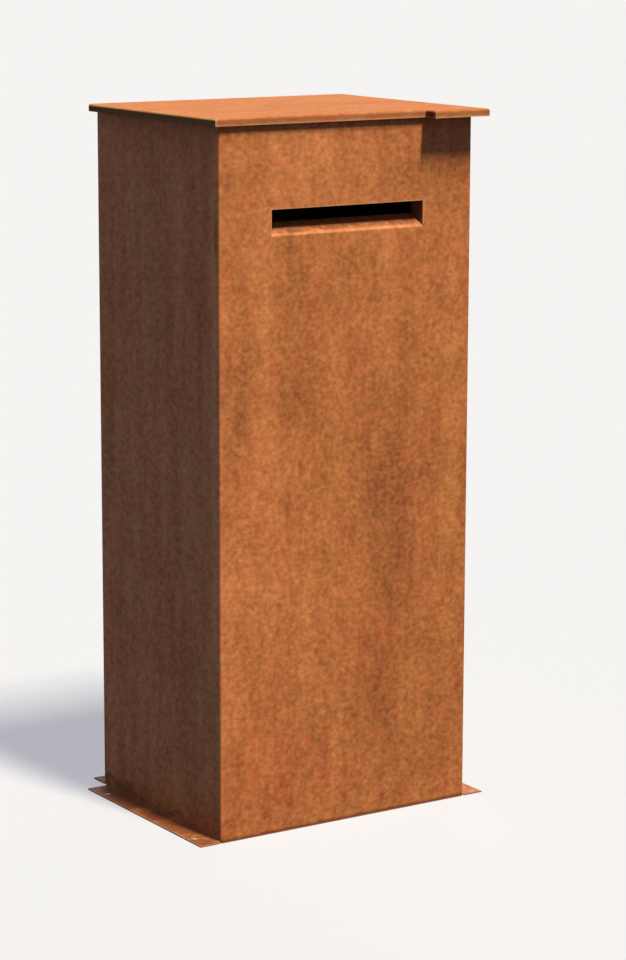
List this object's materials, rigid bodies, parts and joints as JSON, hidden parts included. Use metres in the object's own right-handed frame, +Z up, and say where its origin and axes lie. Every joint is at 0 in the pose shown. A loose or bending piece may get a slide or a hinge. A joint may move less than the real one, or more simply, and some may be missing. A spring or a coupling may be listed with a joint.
{
  "type": "rusty mailbox",
  "caption": "Tall floor-standing mailbox of rusted weathering-steel sheet, with a front mail slot, a hinged lid with a lifting tab, and folded feet to anchor it.",
  "frame": {"origin": "on the floor, at the centre of the four anchor holes in the two side feet", "axes": "+X to the right seen from the front, +Y from the front with the slot towards the back panel with the hinges, +Z up"},
  "size_m": [0.464, 0.381, 0.966],
  "materials": {
    "rusted_body": "matt orange-brown rust patina",
    "rusted_lid": "matt orange rust patina, sun-bleached",
    "rusted_inside": "dark brown rust",
    "hinge_steel": "rusting plain steel",
    "pin_steel": "worn, lightly rusted steel",
    "rivet_steel": "dull steel with rust round the heads",
    "buffer_rubber": "matt black rubber"
  },
  "bodies": {
    "box": {"body_shell": "rusted_body", "back_panel": "rusted_body", "slot_hood": "rusted_inside", "letter_floor": "rusted_inside", "left_floor_rail": "rusted_inside", "right_floor_rail": "rusted_inside", "left_hinge_fixed_leaf": "hinge_steel", "right_hinge_fixed_leaf": "hinge_steel", "left_hinge_pin": "pin_steel", "right_hinge_pin": "pin_steel", "hinge_rivets": "rivet_steel", "back_panel_rivets": "rivet_steel"},
    "lid": {"lid": "rusted_lid", "lid_buffers": "buffer_rubber", "left_hinge_lid_leaf": "hinge_steel", "right_hinge_lid_leaf": "hinge_steel"}
  },
  "joints": [
    {"name": "lid_hinge", "type": "hinge", "parent": "box", "child": "lid", "pos_m": [0, 0.164, 0.9585], "axis": [-1, 0, 0], "range_deg": [0, 103]}
  ]
}
